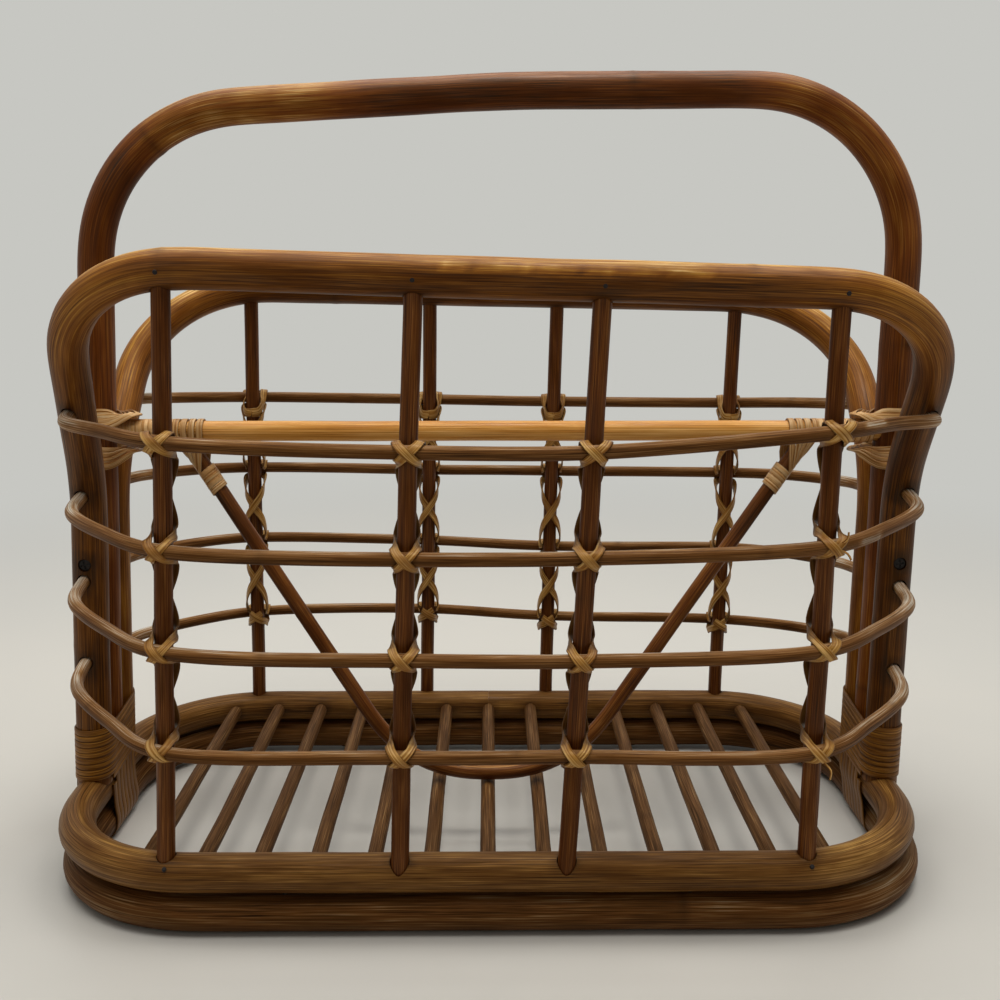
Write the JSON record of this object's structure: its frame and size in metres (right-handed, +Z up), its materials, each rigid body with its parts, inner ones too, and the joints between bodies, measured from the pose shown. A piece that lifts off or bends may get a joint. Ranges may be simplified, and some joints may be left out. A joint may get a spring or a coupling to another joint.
{
  "type": "magazine basket",
  "caption": "Open rattan basket for magazines: stacked base hoops, splayed side hoops, laced stick walls, slatted floor, carrying hoop and a bent divider rod.",
  "frame": {"origin": "on the floor, under the middle of the basket's outline", "axes": "+X along the basket to the right seen from the front, +Y from the front wall to the back wall, +Z up"},
  "size_m": [0.4628, 0.265, 0.4142],
  "materials": {
    "dusty_rattan": "dull, dusty rattan pole",
    "smoked_rattan": "satin varnished rattan pole",
    "pale_rattan": "satin varnished rattan pole, worn paler at the bends",
    "dark_stick": "satin stained stick",
    "rail_stick": "dry stained stick",
    "slat_stick": "dry stained stick",
    "golden_bar": "glossy varnished rattan",
    "flat_cane": "glossy split cane",
    "dull_steel": "dull, tarnished"
  },
  "bodies": {
    "root": {"lower_ring": "dusty_rattan", "upper_ring": "smoked_rattan", "floor_slat_1": "slat_stick", "floor_slat_2": "slat_stick", "floor_slat_3": "slat_stick", "floor_slat_4": "slat_stick", "floor_slat_5": "slat_stick", "floor_slat_6": "slat_stick", "floor_slat_7": "slat_stick", "floor_slat_8": "slat_stick", "floor_slat_9": "slat_stick", "floor_slat_10": "slat_stick", "floor_slat_11": "slat_stick", "floor_slat_12": "slat_stick", "floor_slat_13": "slat_stick", "handle_hoop": "smoked_rattan", "front_hoop": "pale_rattan", "back_hoop": "pale_rattan", "front_stave_1": "dark_stick", "front_stave_2": "dark_stick", "front_stave_3": "dark_stick", "front_stave_4": "dark_stick", "back_stave_1": "dark_stick", "back_stave_2": "dark_stick", "back_stave_3": "dark_stick", "back_stave_4": "dark_stick", "front_rail_1": "rail_stick", "front_rail_2": "rail_stick", "front_rail_3": "rail_stick", "front_rail_4": "rail_stick", "back_rail_1": "rail_stick", "back_rail_2": "rail_stick", "back_rail_3": "rail_stick", "back_rail_4": "rail_stick", "divider_bar": "golden_bar", "divider_vee": "dark_stick", "front_lacing_1": "flat_cane", "front_lacing_2": "flat_cane", "front_lacing_3": "flat_cane", "front_lacing_4": "flat_cane", "back_lacing_1": "flat_cane", "back_lacing_2": "flat_cane", "back_lacing_3": "flat_cane", "back_lacing_4": "flat_cane", "foot_binding_left": "flat_cane", "foot_binding_right": "flat_cane", "foot_lashing_left": "flat_cane", "foot_lashing_right": "flat_cane", "bar_binding_left": "flat_cane", "bar_binding_right": "flat_cane", "vee_binding_left": "flat_cane", "vee_binding_right": "flat_cane", "leg_screw_front_left": "dull_steel", "leg_screw_front_right": "dull_steel", "leg_screw_back_left": "dull_steel", "leg_screw_back_right": "dull_steel", "base_nail_front_left": "dull_steel", "base_nail_front_right": "dull_steel", "base_nail_back_left": "dull_steel", "base_nail_back_right": "dull_steel"}
  },
  "joints": []
}
